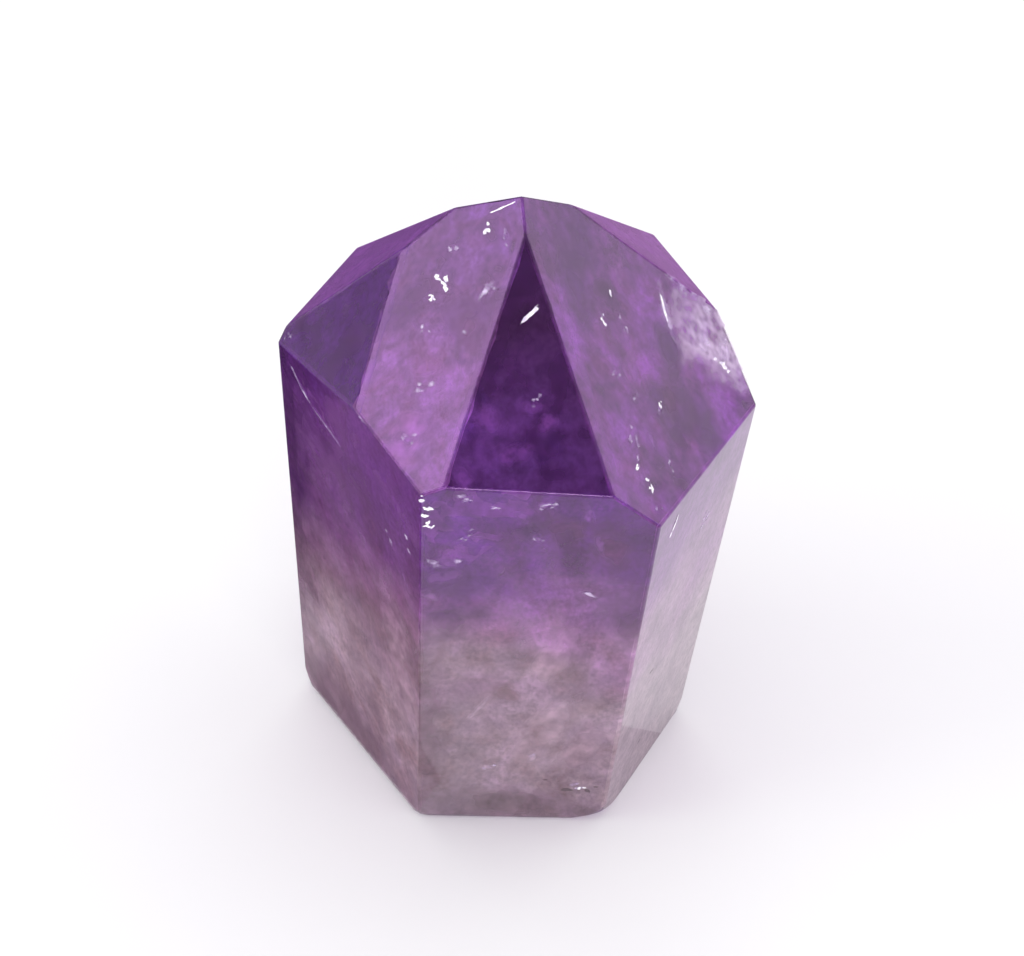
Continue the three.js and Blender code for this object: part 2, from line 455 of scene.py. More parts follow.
def on_face(direction, x, z, depth):
    """The frame of a spot on the face that looks in a direction: right, up and out as its columns."""
    middle, out = face_looking(direction)
    right = Vector((0, 0, 1)).cross(out).normalized()
    up = out.cross(right)
    y = middle.y - (out.x * (x * MM - middle.x) + out.z * (z * MM - middle.z)) / out.y
    spot = Vector((x * MM, y, z * MM)) - out * depth
    turn = Matrix((right, up, out)).transposed().to_4x4()
    return Matrix.Translation(spot) @ turn


def laid_sheet(name, face, x, z, length, width, turn, depth, cells=30):
    """A thin sheet close under one face and along it, a little rippled, or flat on the face where its
    depth is below nought. It keeps clear of the other faces by about its depth too."""
    deselect_all()
    bpy.ops.mesh.primitive_grid_add(x_subdivisions=cells, y_subdivisions=cells, size=1)
    sheet = bpy.context.object
    shape = Matrix.Diagonal((length * MM, width * MM, 1, 1))
    place = on_face(face, x, z, depth * MM)
    sheet.matrix_world = place @ Matrix.Rotation(math.radians(turn), 4, "Z") @ shape
    settle(sheet)
    if depth > 0:
        ripple(sheet, name + " ripple", RIPPLE_WAVE, depth * RIPPLE_DEPTH)
    cut_to_stone(sheet, depth * (0.55 if depth > 0 else 1.2) * MM)
    take_up(sheet)
    bpy.ops.object.shade_smooth()
    sheet.visible_shadow = False
    return sheet


def face_sheet(material, name, *place):
    """A thin sheet close under one face, as a piece of its own."""
    return finish(laid_sheet(name, *place), name, material)


def patches(name, material, rows, depth):
    """Several small sheets as one piece."""
    sheets = [laid_sheet(name, *row, depth, cells=10) for row in rows]
    return finish(joined(sheets), name, material)


def streak(name, material, face, points, width):
    """A long bent crack, or a painted highlight along an edge, as a narrow ribbon of flakes end to end."""
    pieces = []
    chance = random.Random(name)
    for (x, z), (next_x, next_z) in zip(points, points[1:]):
        start = on_face(face, x, z, -OVER_SKIN)
        end = on_face(face, next_x, next_z, -OVER_SKIN)
        along = start.inverted() @ end.translation
        middle = start @ Matrix.Translation(along / 2)
        turn = math.degrees(math.atan2(along.y, along.x))
        overlapping = along.length / MM * 1.6
        pieces.append(flake(middle, overlapping, width, turn, RIBBON_LIFT, chance))
    ribbon = joined(pieces)
    cut_to_stone(ribbon, -OVER_SKIN - RIBBON_LIFT * MM)
    return finish(ribbon, name, material)


def flake(place, length, width, turn, lift, chance):
    """One small ragged flake, lying on a face or just under it."""
    deselect_all()
    bpy.ops.mesh.primitive_circle_add(vertices=7, radius=0.5, fill_type="NGON")
    piece = bpy.context.object
    bpy.ops.object.mode_set(mode="EDIT")
    bpy.ops.mesh.poke(offset=0.0)
    bpy.ops.transform.vertex_random(offset=0.3, seed=chance.randrange(1000))
    bpy.ops.object.mode_set(mode="OBJECT")
    shape = Matrix.Diagonal((length * MM, width * MM, lift * MM, 1))
    piece.matrix_world = place @ Matrix.Rotation(math.radians(turn), 4, "Z") @ shape
    settle(piece)
    return piece


def joined(pieces):
    deselect_all()
    for piece in pieces:
        piece.select_set(True)
    bpy.context.view_layer.objects.active = pieces[0]
    bpy.ops.object.join()
    return pieces[0]


def flakes(name, material, rows, depth, lift, count):
    """Clusters of small flakes, scattered over each row's length and width."""
    chance = random.Random(name)
    pieces = []
    for face, x, z, length, width, turn in rows:
        spot = on_face(face, x, z, depth * MM) @ Matrix.Rotation(math.radians(turn), 4, "Z")
        for _ in range(count):
            if count == 1:
                pieces.append(flake(spot, length, width, 0, lift, chance))
                continue
            along = Vector((chance.uniform(-0.5, 0.5) * length, chance.uniform(-0.5, 0.5) * width, 0)) * MM
            long = max(FLAKE_LENGTH, length * chance.uniform(0.25, 0.6))
            wide = min(long, max(FLAKE_WIDTH, width * chance.uniform(0.4, 0.9)))
            place = spot @ Matrix.Translation(along)
            pieces.append(flake(place, long, wide, chance.gauss(0, 25), lift, chance))
    cluster = joined(pieces)
    cut_to_stone(cluster, (depth - lift) * MM)
    return finish(cluster, name, material)


def grains():
    """Dark grains caught in the foot."""
    chance = random.Random("grains")
    pieces = []
    for face, x, z, size in DARK_GRAINS:
        deselect_all()
        bpy.ops.mesh.primitive_ico_sphere_add(subdivisions=2, radius=0.5)
        piece = bpy.context.object
        bpy.ops.object.mode_set(mode="EDIT")
        bpy.ops.transform.vertex_random(offset=0.14, seed=chance.randrange(1000))
        bpy.ops.object.mode_set(mode="OBJECT")
        shape = Matrix.Diagonal((size * MM, size * GRAIN_WIDTH_SHARE * MM, GRAIN_THICKNESS, 1))
        turn = Matrix.Rotation(chance.uniform(0, math.pi), 4, "Z")
        piece.matrix_world = on_face(face, x, z, GRAIN_DEPTH) @ turn @ shape
        settle(piece)
        pieces.append(piece)
    return finish(joined(pieces), "dark_grains", dark_grain())


class Nodes:
    """A node tree, with short ways to add nodes and join them."""

    def __init__(self, tree):
        self.tree = tree

    def add(self, kind, **settings):
        node = self.tree.nodes.new("ShaderNode" + kind)
        for name, value in settings.items():
            setattr(node, name, value)
        return node

    def link(self, source, target):
        self.tree.links.new(source, target)

    def value(self, socket, value):
        """Joins a socket to an input, or sets the input to a plain value."""
        if isinstance(value, bpy.types.NodeSocket):
            self.link(value, socket)
        else:
            socket.default_value = value

    def math(self, operation, *values, clamp=False):
        node = self.add("Math", operation=operation, use_clamp=clamp)
        for socket, value in zip(node.inputs, values):
            self.value(socket, value)
        return node.outputs[0]

    def noise(self, vector, scale, detail=3.0, roughness=0.5, distortion=0.0):
        node = self.add("TexNoise")
        self.value(node.inputs["Vector"], vector)
        self.value(node.inputs["Scale"], scale)
        node.inputs["Detail"].default_value = detail
        node.inputs["Roughness"].default_value = roughness
        node.inputs["Distortion"].default_value = distortion
        return node.outputs["Fac"]

    def along_growth(self):
        """The place in the stone, with patterns drawn out along its height."""
        node = self.add("VectorMath", operation="MULTIPLY")
        self.link(self.add("TexCoord").outputs["Object"], node.inputs[0])
        node.inputs[1].default_value = (1, 1, 0.6)
        return node.outputs["Vector"]

    def ramp(self, fac, stops, interpolation="LINEAR"):
        node = self.add("ValToRGB")
        node.color_ramp.interpolation = interpolation
        elements = node.color_ramp.elements
        while len(elements) < len(stops):
            elements.new(0.5)
        while len(elements) > len(stops):
            elements.remove(elements[-1])
        for element, (position, color) in zip(elements, stops):
            element.position = position
            element.color = (*color, 1) if isinstance(color, tuple) else (color, color, color, 1)
        self.value(node.inputs["Fac"], fac)
        return node.outputs["Color"]

    def mix(self, fac, a, b, blend="MIX"):
        node = self.add("Mix", data_type="RGBA", blend_type=blend)
        self.value(node.inputs["Factor"], fac)
        self.value(node.inputs[6], a)
        self.value(node.inputs[7], b)
        return node.outputs[2]

    def group(self, tree, **values):
        node = self.add("Group")
        node.node_tree = tree
        for name, value in values.items():
            self.value(node.inputs[name.replace("_", " ")], value)
        return node.outputs


def new_group(name, inputs, outputs):
    """An empty shader node group with named number sockets, and its input and output nodes."""
    tree = bpy.data.node_groups.new(name, "ShaderNodeTree")
    for socket, value in inputs.items():
        entry = tree.interface.new_socket(socket, in_out="INPUT", socket_type="NodeSocketFloat")
        entry.default_value = value
    for socket in outputs:
        tree.interface.new_socket(socket, in_out="OUTPUT", socket_type="NodeSocketFloat")
    return tree, tree.nodes.new("NodeGroupInput"), tree.nodes.new("NodeGroupOutput")


def growth_zoning():
    """How high a point lies in the stone, from 0 to 1, with the uneven borders that growth leaves."""
    tree, given, out = new_group("growth zoning", {"Unevenness": 0.3}, ["Height"])
    n = Nodes(tree)
    place = n.add("TexCoord").outputs["Object"]
    split = n.add("SeparateXYZ")
    n.link(place, split.inputs[0])
    height = n.math("DIVIDE", split.outputs["Z"], STONE_HEIGHT)
    drift = n.math("SUBTRACT", n.noise(place, 55, 2, 0.55), 0.5)
    height = n.math("ADD", height, n.math("MULTIPLY", drift, given.outputs["Unevenness"]))
    n.link(height, out.inputs["Height"])
    return tree


def misty_wisps():
    """A mask of drawn-out wisps: none under the thin limit, and full over the thick one."""
    limits = {"Scale": 160.0, "Thin": 0.4, "Thick": 0.7}
    tree, given, out = new_group("misty wisps", limits, ["Mask"])
    n = Nodes(tree)
    wisps = n.noise(n.along_growth(), given.outputs["Scale"], 2, 0.8)
    span = n.math("SUBTRACT", given.outputs["Thick"], given.outputs["Thin"])
    mask = n.math("DIVIDE", n.math("SUBTRACT", wisps, given.outputs["Thin"]), span, clamp=True)
    n.link(mask, out.inputs["Mask"])
    return tree


def ragged_rim():
    """A mask that ends raggedly towards the rim of a piece, by its own UV map."""
    limits = {"Steepness": 5.0, "Raggedness": 0.3, "Scale": 200.0}
    tree, given, out = new_group("ragged rim", limits, ["Mask"])
    n = Nodes(tree)
    coordinates = n.add("TexCoord")
    reach = n.add("VectorMath", operation="DISTANCE")
    n.link(coordinates.outputs["UV"], reach.inputs[0])
    reach.inputs[1].default_value = (0.5, 0.5, 0)
    teeth = n.math("SUBTRACT", n.noise(coordinates.outputs["Object"], given.outputs["Scale"], 2, 0.6), 0.5)
    inside = n.math("ADD", n.math("SUBTRACT", 0.5, reach.outputs["Value"]),
                    n.math("MULTIPLY", teeth, given.outputs["Raggedness"]))
    inside = n.math("SUBTRACT", inside, n.math("MULTIPLY", given.outputs["Raggedness"], 0.2))
    n.link(n.math("MULTIPLY", inside, given.outputs["Steepness"], clamp=True), out.inputs["Mask"])
    return tree


def new_material(name):
    material = bpy.data.materials.new(name)
    material.use_nodes = True
    tree = material.node_tree
    return material, Nodes(tree), tree.nodes["Principled BSDF"], tree.nodes["Material Output"]


def amethyst():
    """Polished amethyst: violet and clear at the tip, cloudy and greyish pink at the foot."""
    material, n, principled, output = new_material("amethyst")
    place = n.add("TexCoord").outputs["Object"]
    height = n.group(zoning, Unevenness=0.7)["Height"]
    body = n.ramp(height, [
        (0.00, (0.62, 0.57, 0.55)),
        (0.26, (0.70, 0.62, 0.60)),
        (0.40, (0.62, 0.42, 0.58)),
        (0.54, (0.33, 0.13, 0.41)),
        (0.72, (0.20, 0.05, 0.28)),
        (1.00, (0.25, 0.08, 0.33)),
    ])
    mottle = n.noise(place, 450, 5, 0.74)
    body = n.mix(0.6, body, n.ramp(mottle, [(0.3, (0.4, 0.4, 0.4)), (0.75, (1.7, 1.6, 1.7))]), "MULTIPLY")
    n.link(body, principled.inputs["Base Color"])
    principled.inputs["Roughness"].default_value = 0.08
    principled.inputs["IOR"].default_value = 1.544
    principled.inputs["Specular Tint"].default_value = (0.92, 0.6, 1.0, 1)
    principled.inputs["Transmission Weight"].default_value = 0.92
    bump = n.add("Bump")
    bump.inputs["Strength"].default_value = 0.5
    bump.inputs["Distance"].default_value = 0.05 * MM
    n.link(n.noise(place, 220, 2, 0.5), bump.inputs["Height"])
    n.link(bump.outputs[0], principled.inputs["Normal"])
    absorb = n.add("VolumeAbsorption")
    absorb.inputs["Color"].default_value = (0.5, 0.32, 0.6, 1)
    absorb.inputs["Density"].default_value = 55
    n.link(absorb.outputs[0], output.inputs["Volume"])
    through = n.add("BsdfTransparent")
    through.inputs[0].default_value = (0.68, 0.57, 0.7, 1)
    either = n.add("MixShader")
    n.link(n.add("LightPath").outputs["Is Shadow Ray"], either.inputs[0])
    n.link(principled.outputs[0], either.inputs[1])
    n.link(through.outputs[0], either.inputs[2])
    n.link(either.outputs[0], output.inputs["Surface"])
    return material


def thin_mist(name, colours, wisp_scale, thin, thick, densities, rim_scale=None, grain=None, drift=None,
              unevenness=0.7, steepness=5.0, raggedness=0.4):
    """A sheet of tiny bubbles, or of painted light or shade where its colours are chosen for that: it
    scatters light to both sides and is clear between its wisps. Its colours go by height. Grain is the scale
    of a fine speckle, and drift that of a brown and violet unrest."""
    material, n, principled, output = new_material(name)
    height = n.group(zoning, Unevenness=unevenness)["Height"]
    body = n.ramp(height, colours)
    if grain:
        speckle = n.noise(n.along_growth(), grain, 2, 0.6)
        shades = n.ramp(speckle, [(0.34, (0.74, 0.71, 0.74)), (0.68, (1.22, 1.20, 1.22))])
        body = n.mix(1.0, body, shades, "MULTIPLY")
    if drift:
        clouds = n.noise(n.along_growth(), drift, 3, 0.62, 0.8)
        tones = n.ramp(clouds, [
            (0.34, (0.68, 0.58, 0.56)),
            (0.50, (1.00, 1.00, 1.00)),
            (0.66, (1.30, 1.30, 1.42)),
        ])
        body = n.mix(1.0, body, tones, "MULTIPLY")
    wisps = n.group(wisp, Scale=wisp_scale, Thin=thin, Thick=thick)["Mask"]
    density = n.math("MULTIPLY", wisps, n.ramp(height, densities))
    if rim_scale:
        edge = n.group(rim, Steepness=steepness, Raggedness=raggedness, Scale=rim_scale)["Mask"]
        density = n.math("MULTIPLY", density, edge)
    front = n.add("BsdfDiffuse")
    n.link(body, front.inputs[0])
    glow = n.add("BsdfTranslucent")
    n.link(body, glow.inputs[0])
    mist = n.add("MixShader")
    n.link(front.outputs[0], mist.inputs[1])
    n.link(glow.outputs[0], mist.inputs[2])
    seen = n.add("MixShader")
    n.link(density, seen.inputs[0])
    n.link(n.add("BsdfTransparent").outputs[0], seen.inputs[1])
    n.link(mist.outputs[0], seen.inputs[2])
    n.link(seen.outputs[0], output.inputs["Surface"])
    n.tree.nodes.remove(principled)
    return material


def crack_with_painted_glint():
    """The torn inside of a crack that lies open, painted near white: a painted highlight for the glint that
    it flashes.
    """
    material, n, principled, _ = new_material("open crack with painted glint")
    place = n.add("TexCoord").outputs["Object"]
    grit = n.noise(place, 2500, 3, 0.6)
    body = n.ramp(grit, [(0.3, (0.6, 0.5, 0.72)), (0.62, (1.0, 0.96, 1.0))])
    n.link(body, principled.inputs["Base Color"])
    edge = n.group(rim, Steepness=12, Raggedness=0.5, Scale=2600)["Mask"]
    n.link(edge, principled.inputs["Alpha"])
    principled.inputs["Roughness"].default_value = 0.25
    return material


def lilac_crack():
    """A crack just under the skin, which scatters a paler violet."""
    material, n, principled, _ = new_material("lilac crack")
    place = n.add("TexCoord").outputs["Object"]
    grit = n.noise(place, 1800, 4, 0.65, 0.4)
    body = n.ramp(grit, [(0.3, (0.5, 0.32, 0.66)), (0.65, (0.82, 0.68, 0.94))])
    n.link(body, principled.inputs["Base Color"])
    strength = n.ramp(grit, [(0.36, 0.12), (0.66, 0.62)])
    edge = n.group(rim, Steepness=4, Raggedness=0.5, Scale=2200)["Mask"]
    n.link(n.math("MULTIPLY", strength, edge), principled.inputs["Alpha"])
    principled.inputs["Roughness"].default_value = 0.4
    return material


def dark_grain():
    """Brown-violet mineral grain."""
    material, n, principled, _ = new_material("dark grain")
    place = n.add("TexCoord").outputs["Object"]
    grit = n.noise(place, 2200, 4, 0.6)
    body = n.ramp(grit, [(0.3, (0.05, 0.025, 0.045)), (0.7, (0.2, 0.13, 0.16))])
    n.link(body, principled.inputs["Base Color"])
    principled.inputs["Roughness"].default_value = 0.5
    return material


def softbox(name, place, target, width, height, watts):
    light = bpy.data.lights.new(name, "AREA")
    light.shape = "RECTANGLE"
    light.size = width
    light.size_y = height
    light.energy = watts
    lamp = bpy.data.objects.new(name, light)
    lamp.visible_transmission = False
    bpy.context.scene.collection.objects.link(lamp)
    lamp.location = place
    away = Vector(target) - Vector(place)
    lamp.rotation_euler = away.to_track_quat("-Z", "Y").to_euler()
    return lamp


def card(name, place, lean, turn, width, height, shades, veils=None, dims=None):
    """A card beside the stone, out of the camera's sight, that only its faces mirror: a painted reflection.
    Its shades, and how dense it is, go from its foot up, by share of its height. Above its foot it dims from
    side to side, by share of its width, which is painted shade."""
    paper, n, principled, _ = new_material(name)
    split = n.add("SeparateXYZ")
    n.link(n.add("TexCoord").outputs["Object"], split.inputs[0])
    rise = n.math("DIVIDE", split.outputs["Z"], height * MM)
    shade = n.ramp(rise, shades)
    if dims:
        side = n.math("DIVIDE", split.outputs["Y"], width * MM)
        above_foot = n.ramp(rise, [(0.06, (0, 0, 0)), (0.12, (1, 1, 1))])
        shade = n.mix(above_foot, shade, n.ramp(side, dims), "MULTIPLY")
    n.link(shade, principled.inputs["Base Color"])
    if veils:
        n.link(n.ramp(rise, veils, "EASE"), principled.inputs["Alpha"])
    principled.inputs["Roughness"].default_value = 0.8
    deselect_all()
    bpy.ops.mesh.primitive_plane_add(
        size=1, location=Vector(place) * MM, rotation=(math.radians(lean), 0, math.radians(turn)))
    sheet = bpy.context.object
    sheet.name = name
    sheet.scale = (width * MM, height * MM, 1)
    settle(sheet)
    sheet.data.materials.append(paper)
    sheet.visible_camera = False
    sheet.visible_diffuse = False
    sheet.visible_shadow = False
    return sheet


def pale_floor():
    deselect_all()
    bpy.ops.mesh.primitive_circle_add(vertices=128, radius=3, fill_type="NGON", location=(0, 0, -0.03 * MM))
    floor = bpy.context.object
    floor.name = "floor"
    material, _, principled, _ = new_material("pale floor")
    principled.inputs["Base Color"].default_value = (0.9, 0.9, 0.9, 1)
    principled.inputs["Roughness"].default_value = 0.6
    floor.data.materials.append(material)


def softboxes():
    softbox("left softbox", (-1.12, -0.23, 0.62), target=(0, 0, 0.04), width=0.76, height=0.65, watts=5.2)
    softbox("right softbox", (1.3, 0.52, 0.37), target=(0, 0, 0.04), width=1.08, height=0.94, watts=4.9)
    softbox("top softbox", (0, 0.5, 3), target=(0, 0, 0), width=3.0, height=3.0, watts=24)
    softbox("front softbox", (0.1, -1.1, 0.28), target=(0, 0, 0.03), width=0.6, height=0.3, watts=4.6)


def painted_reflection_cards():
    """Painted reflections, cards that only the polished faces mirror: dark by the camera, banded and shaded
    at the left, violet behind, and a painted shadow by the right foot.
    """
    # Painted reflection: a dark card, as the side by the camera.
    card(
        "card by the camera", (110, -560, 500), lean=50, turn=10, width=460, height=380,
        shades=[(0, (0.1, 0.08, 0.12))])
    # Painted reflection in the left face: pale as a floor at its foot, darker violet bands above, and
    # painted shade towards one side.
    left_shades = [
        (0.00, (0.90, 0.78, 0.84)),
        (0.09, (0.98, 0.92, 0.94)),
        (0.18, (0.36, 0.27, 0.37)),
        (0.23, (0.44, 0.33, 0.40)),
        (0.27, (0.34, 0.25, 0.33)),
        (0.31, (0.42, 0.28, 0.42)),
        (0.38, (0.46, 0.25, 0.50)),
    ]
    left_veils = [(0.45, 1.0), (0.8, 0.0)]
    left_painted_shade = [(0.02, (1, 1, 1)), (0.07, (0.5, 0.4, 0.5)), (0.12, (0.2, 0.12, 0.26))]
    left = card(
        "left card", (-23.7, -4.4, 23.3), lean=63.4, turn=126, width=36, height=52,
        shades=left_shades, veils=left_veils, dims=left_painted_shade)
    left.visible_transmission = False
    # Painted violet reflections for the back tip faces.
    card(
        "back right card", (45, 62, 21), lean=90, turn=0, width=80, height=42,
        shades=[(0, (0.62, 0.32, 0.7))])
    card(
        "back left card", (-33, 62, 21), lean=90, turn=0, width=76, height=42,
        shades=[(0, (0.34, 0.14, 0.46))])
    # Painted shadow: a grey card on the floor by the right foot, which only the right face mirrors.
    foot = card(
        "shade by the right foot", (7.7, -5.8, -0.015), lean=0, turn=-52, width=16, height=14,
        shades=[(0, (0.6, 0.57, 0.6))])
    foot.visible_transmission = False


def pale_sky():
    world = bpy.data.worlds.new("studio")
    bpy.context.scene.world = world
    world.use_nodes = True
    background = world.node_tree.nodes["Background"]
    background.inputs["Color"].default_value = (0.9, 0.9, 0.92, 1)
    background.inputs["Strength"].default_value = 0.84


def camera():
    data = bpy.data.cameras.new("camera")
    data.lens = CAMERA_LENS
    data.sensor_width = 36
    data.clip_start = 0.01
    data.clip_end = 20
    eye = bpy.data.objects.new("camera", data)
    bpy.context.scene.collection.objects.link(eye)
    aim = Vector((0, 0, stone_low.z + STONE_HEIGHT * AIM_HEIGHT_SHARE))
    back = Vector((0, -math.cos(CAMERA_ELEVATION), math.sin(CAMERA_ELEVATION)))
    eye.location = aim + back * CAMERA_DISTANCE
    turn = (-back).to_track_quat("-Z", "Y").to_matrix() @ Matrix.Rotation(CAMERA_ROLL, 3, "Z")
    eye.rotation_euler = turn.to_euler()
    bpy.context.scene.camera = eye


scene = bpy.context.scene
scene.view_settings.view_transform = "Standard"
scene.cycles.use_denoising = True
scene.cycles.max_bounces = 7
scene.cycles.diffuse_bounces = 2
scene.cycles.transparent_max_bounces = 16
camera()
pale_floor()
softboxes()
painted_reflection_cards()
pale_sky()

zoning = growth_zoning()
wisp = misty_wisps()
rim = ragged_rim()
stone = whole_faces()
faces = face_planes(stone)
polish(stone)
finish(stone, "polished_crystal", amethyst())
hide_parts("amethyst_point")

cloud = thin_mist(
    "milky cloud",
    [
        (0.00, (0.66, 0.62, 0.56)),
        (0.30, (0.72, 0.64, 0.60)),
        (0.45, (0.60, 0.40, 0.58)),
        (0.60, (0.30, 0.11, 0.38)),
    ],
    wisp_scale=190, thin=0.34, thick=0.64,
    densities=[(0.0, 0.6), (0.08, 0.9), (0.45, 0.7), (0.62, 0.2)],
    rim_scale=90,
)
for number, (middle, lean, turn, size) in enumerate(CLOUDS, 1):
    inner_sheet(f"milky_cloud_{number}", cloud, middle, lean, turn, size, bow=9)

healed = thin_mist(
    "healed crack",
    [
        (0.30, (0.60, 0.44, 0.58)),
        (0.50, (0.30, 0.12, 0.40)),
        (1.00, (0.26, 0.10, 0.38)),
    ],
    wisp_scale=240, thin=0.48, thick=0.72,
    densities=[(0.3, 0.3), (0.5, 0.4), (1.0, 0.4)],
    rim_scale=90,
)
for number, (middle, lean, turn, size) in enumerate(HEALED_CRACKS, 1):
    inner_sheet(f"healed_crack_{number}", healed, middle, lean, turn, size, bow=7)

# Pale haze under the left tip face: partly the stone's cloudiness, partly painted sheen where the face
# catches the light.
left_tip_haze_and_sheen = thin_mist(
    "lilac haze",
    [(0.79, (1.0, 0.94, 1.0)), (0.87, (0.62, 0.54, 0.64)), (1.0, (0.78, 0.56, 1.0))],
    wisp_scale=330, thin=0.24, thick=0.54,
    densities=[(0.78, 1.0), (0.86, 0.75)],
    grain=2200,
    drift=420,
)
face_sheet(left_tip_haze_and_sheen, *LEFT_TIP_HAZE_AND_SHEEN)

# Dark haze under the front triangle: partly the stone's cloudiness, partly painted shade.
front_tip_haze_and_shade = thin_mist(
    "dark violet haze",
    [(0.74, (0.56, 0.52, 0.72)), (0.84, (0.17, 0.17, 0.16)), (1.0, (0.13, 0.09, 0.17))],
    wisp_scale=300, thin=0.30, thick=0.56,
    densities=[(0.4, 0.75), (1.0, 0.75)],
    grain=1500,
)
face_sheet(front_tip_haze_and_shade, *FRONT_TIP_HAZE_AND_SHADE)

# Pale haze under the right tip face: partly the stone's cloudiness, partly painted sheen where the face
# catches the light.
right_tip_haze_and_sheen = thin_mist(
    "violet haze",
    [(0.5, (0.94, 0.55, 1.0)), (1.0, (0.92, 0.55, 1.0))],
    wisp_scale=230, thin=0.28, thick=0.56,
    densities=[(0.76, 0.9), (0.84, 0.9), (0.95, 0.6)],
    grain=1500,
    drift=360,
)
face_sheet(right_tip_haze_and_sheen, *RIGHT_TIP_HAZE_AND_SHEEN)

# Zones for the hazes under the upright faces: the front face's own, a darker shaded copy for the left face
# and a paler lit copy for the right face, which are painted shade and painted light.
side_zones = (
    (0.00, (0.30, 0.24, 0.27)),
    (0.14, (0.76, 0.67, 0.69)),
    (0.28, (0.61, 0.51, 0.57)),
    (0.42, (0.82, 0.52, 0.82)),
    (0.54, (0.44, 0.16, 0.60)),
    (1.00, (0.50, 0.15, 0.84)),
)
painted_light_zones = (
    (0.00, (0.84, 0.80, 0.74)),
    (0.28, (1.00, 0.96, 0.98)),
    (0.45, (1.00, 0.84, 1.00)),
    (0.70, (1.00, 0.76, 1.00)),
    (1.00, (1.00, 0.72, 1.00)),
)
shaded_zones = (
    (0.00, (0.66, 0.54, 0.58)),
    (0.18, (0.86, 0.76, 0.75)),
    (0.34, (0.46, 0.28, 0.37)),
    (0.50, (0.44, 0.22, 0.42)),
    (0.58, (0.40, 0.20, 0.46)),
    (0.65, (0.36, 0.16, 0.46)),
    (0.74, (0.50, 0.25, 0.64)),
)


def side_haze(name, zones, thin, head_density, drift=None, unevenness=0.7):
    """Mottled haze for one upright face, greyish pink at its foot and violet at its head, in the zones
    given: shaded zones paint shade into it and lit ones paint light.
    """
    densities = [(0.0, 0.95), (0.45, 0.86), (0.7, head_density)]
    return thin_mist(
        name,
        zones,
        wisp_scale=260, thin=thin, thick=0.58,
        densities=densities,
        grain=2800,
        drift=drift,
        unevenness=unevenness,
    )


front_haze = side_haze("front haze", side_zones, thin=0.10, head_density=0.74, drift=300)
# Painted shade in the left face's haze, and painted light in the right face's.
left_haze = side_haze(
    "left haze", shaded_zones, thin=0.10, head_density=0.65, drift=300, unevenness=0.25)
right_haze = side_haze("right haze", painted_light_zones, thin=0.0, head_density=0.95)
face_sheet(front_haze, *FRONT_HAZE)
face_sheet(left_haze, *LEFT_HAZE)
face_sheet(right_haze, *RIGHT_HAZE)

far_left_haze = thin_mist(
    "deep violet haze",
    [(0.5, (0.38, 0.08, 0.72)), (1.0, (0.38, 0.08, 0.72))],
    wisp_scale=360, thin=0.16, thick=0.60,
    densities=[(0.4, 0.6), (1.0, 0.6)],
    grain=2200,
)
face_sheet(far_left_haze, *FAR_LEFT_HAZE)

feather = thin_mist(
    "feather",
    [(0.55, (0.80, 0.58, 0.94)), (0.72, (0.98, 0.78, 1.0))],
    wisp_scale=600, thin=0.38, thick=0.64,
    densities=[(0.3, 0.6), (1.0, 0.7)],
    rim_scale=400,
)
for row in FEATHERS:
    face_sheet(feather, *row)

brushed = thin_mist(
    "brushed feather",
    [(0.4, (0.66, 0.48, 0.72)), (0.8, (0.56, 0.36, 0.80))],
    wisp_scale=1300, thin=0.42, thick=0.66,
    densities=[(0.3, 0.55), (1.0, 0.55)],
    rim_scale=500,
)
for row in BRUSHED:
    face_sheet(brushed, *row)

# Painted highlight along the edges, pale violet.
painted_edge_highlight = thin_mist(
    "painted edge highlight",
    [(0.7, (0.92, 0.66, 1.0)), (1.0, (0.80, 0.56, 0.94))],
    wisp_scale=500, thin=0.24, thick=0.56,
    densities=[(0.7, 0.35), (1.0, 0.35)],
)
for row in PAINTED_EDGE_HIGHLIGHTS:
    face_sheet(painted_edge_highlight, *row)

# Painted shade: darker violet sheets under the faces.
shade = thin_mist(
    "shade",
    [(0.1, (0.30, 0.21, 0.25)), (0.4, (0.22, 0.09, 0.30)), (0.8, (0.17, 0.05, 0.27))],
    wisp_scale=200, thin=0.20, thick=0.60,
    densities=[(0.1, 0.65), (0.3, 0.55), (0.64, 0.55), (0.8, 0.85)],
    rim_scale=200,
    grain=1700,
)
for row in PAINTED_SHADES:
    face_sheet(shade, *row)

# Deeper violet blotches in the stone, and painted shade.
dark_patch = thin_mist(
    "dark patch",
    [
        (0.10, (0.34, 0.25, 0.29)),
        (0.30, (0.28, 0.15, 0.26)),
        (0.50, (0.19, 0.07, 0.26)),
        (0.80, (0.18, 0.06, 0.26)),
    ],
    wisp_scale=260, thin=0.16, thick=0.56,
    densities=[(0.1, 0.95), (1.0, 0.95)],
    rim_scale=300,
    grain=1700,
    unevenness=0.3,
    steepness=3.2,
    raggedness=0.5,
)
patches("dark_patches", dark_patch, DARK_BLOTCHES_AND_SHADE, 0.08)

brown_shade = thin_mist(
    "brown shade",
    [(0.1, (0.44, 0.31, 0.34)), (0.45, (0.38, 0.22, 0.28)), (0.8, (0.36, 0.22, 0.28))],
    wisp_scale=330, thin=0.20, thick=0.56,
    densities=[(0.1, 0.85), (1.0, 0.85)],
    rim_scale=300,
    grain=1700,
    steepness=3.2,
    raggedness=0.5,
)
patches("brown_patches", brown_shade, BROWN_PATCHES, 0.07)

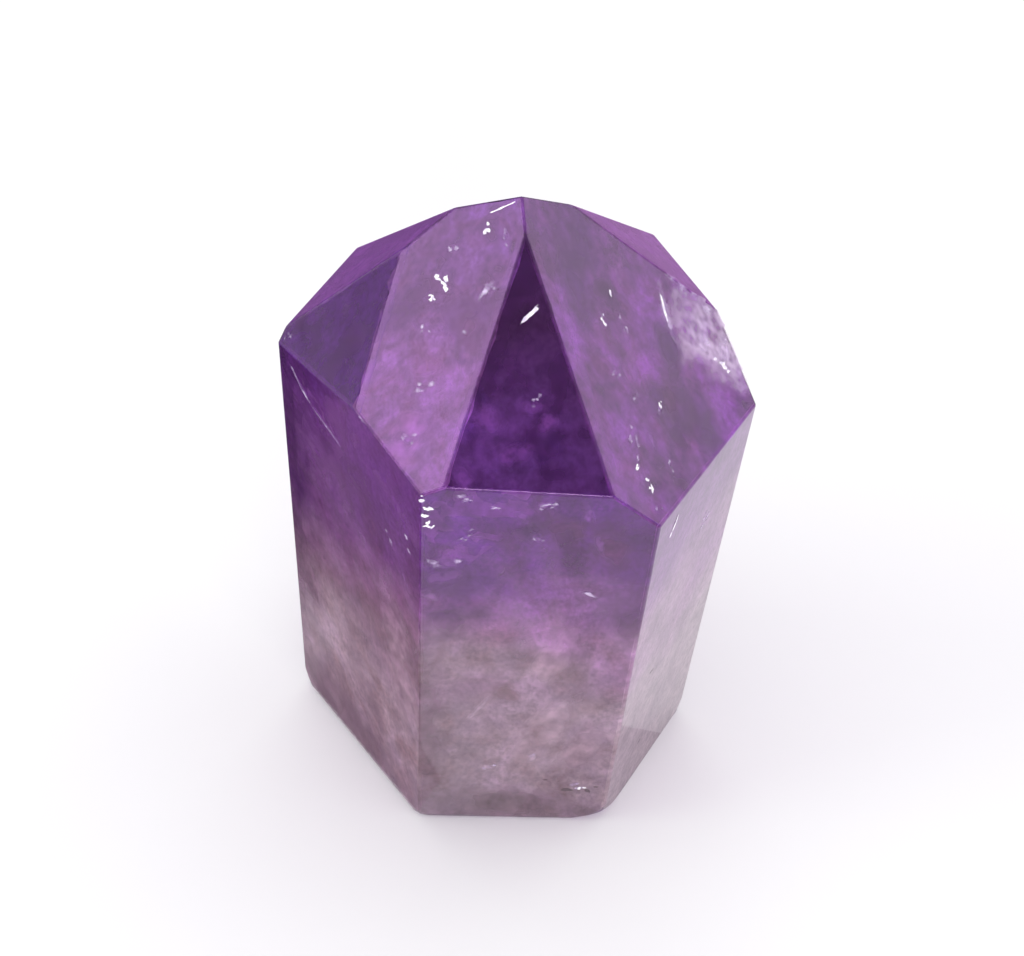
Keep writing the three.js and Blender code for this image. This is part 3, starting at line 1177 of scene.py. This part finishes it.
faint_haze = thin_mist(
    "faint haze",
    [(0.7, (0.94, 0.60, 1.0)), (1.0, (0.90, 0.56, 1.0))],
    wisp_scale=420, thin=0.30, thick=0.62,
    densities=[(0.7, 0.4), (1.0, 0.4)],
    grain=1500,
    drift=420,
)
for name, face, length, width, turn, depth in BACK_TIP_HAZES:
    middle, _ = face_looking(face)
    face_sheet(faint_haze, name, face, middle.x / MM, middle.z / MM, length, width, turn, depth)

front_wisp = thin_mist(
    "pale wisp",
    [(0.1, (0.96, 0.88, 0.90)), (0.45, (0.98, 0.80, 0.96))],
    wisp_scale=330, thin=0.32, thick=0.64,
    densities=[(0.0, 0.75), (1.0, 0.75)],
    rim_scale=250,
    grain=1700,
)
for row in FRONT_WISPS:
    face_sheet(front_wisp, *row)

blue_cloud = thin_mist(
    "blue violet cloud",
    [(0.7, (0.48, 0.37, 0.80)), (1.0, (0.48, 0.37, 0.80))],
    wisp_scale=420, thin=0.36, thick=0.68,
    densities=[(0.7, 0.4), (1.0, 0.4)],
    rim_scale=400,
    grain=1500,
)
for row in TRIANGLE_CLOUDS:
    face_sheet(blue_cloud, *row)

corner_veil = thin_mist(
    "corner veil",
    [(0.5, (0.86, 0.52, 1.0)), (0.9, (0.88, 0.54, 1.0))],
    wisp_scale=300, thin=0.22, thick=0.54,
    densities=[(0.4, 0.8), (1.0, 0.8)],
    grain=1200,
)
face_sheet(corner_veil, *CORNER_VEIL)

crazing = thin_mist(
    "crazing",
    [(0.3, (0.96, 0.82, 1.0)), (1.0, (0.96, 0.82, 1.0))],
    wisp_scale=620, thin=0.30, thick=0.56,
    densities=[(0.3, 0.9), (1.0, 0.9)],
    rim_scale=500,
)
for row in CRAZING:
    face_sheet(crazing, *row)

soft_spot = thin_mist(
    "soft spot",
    [(0.3, (0.96, 0.86, 0.98)), (0.7, (0.88, 0.72, 1.0))],
    wisp_scale=1100, thin=0.16, thick=0.56,
    densities=[(0.3, 0.8), (0.72, 0.8), (0.8, 0.5)],
    rim_scale=900,
    steepness=3.2,
    raggedness=0.5,
)
patches("soft_spots", soft_spot, SOFT_SPOTS, 0.04)

lilac = lilac_crack()
# The white of the cracks paints the glints that they flash.
white = crack_with_painted_glint()
flakes("white_cracks", white, CRACKS_WITH_PAINTED_GLINTS, depth=-0.02, lift=0.1, count=5)
flakes("white_streaks", white, STREAKS_WITH_PAINTED_GLINTS, depth=-0.02, lift=0.05, count=1)
flakes("lilac_streaks", lilac, LILAC_STREAKS, depth=-0.015, lift=0.05, count=1)
flakes("lilac_flecks", lilac, LILAC_FLECKS, depth=-0.015, lift=0.05, count=4)
streak("left_streak", lilac, LEFT, LEFT_STREAK, width=0.55)
# Painted highlight along the crest, in the white of the cracks.
streak("crest_glint", white, TIP_LEFT, PAINTED_CREST_HIGHLIGHT, width=0.16)
grains()
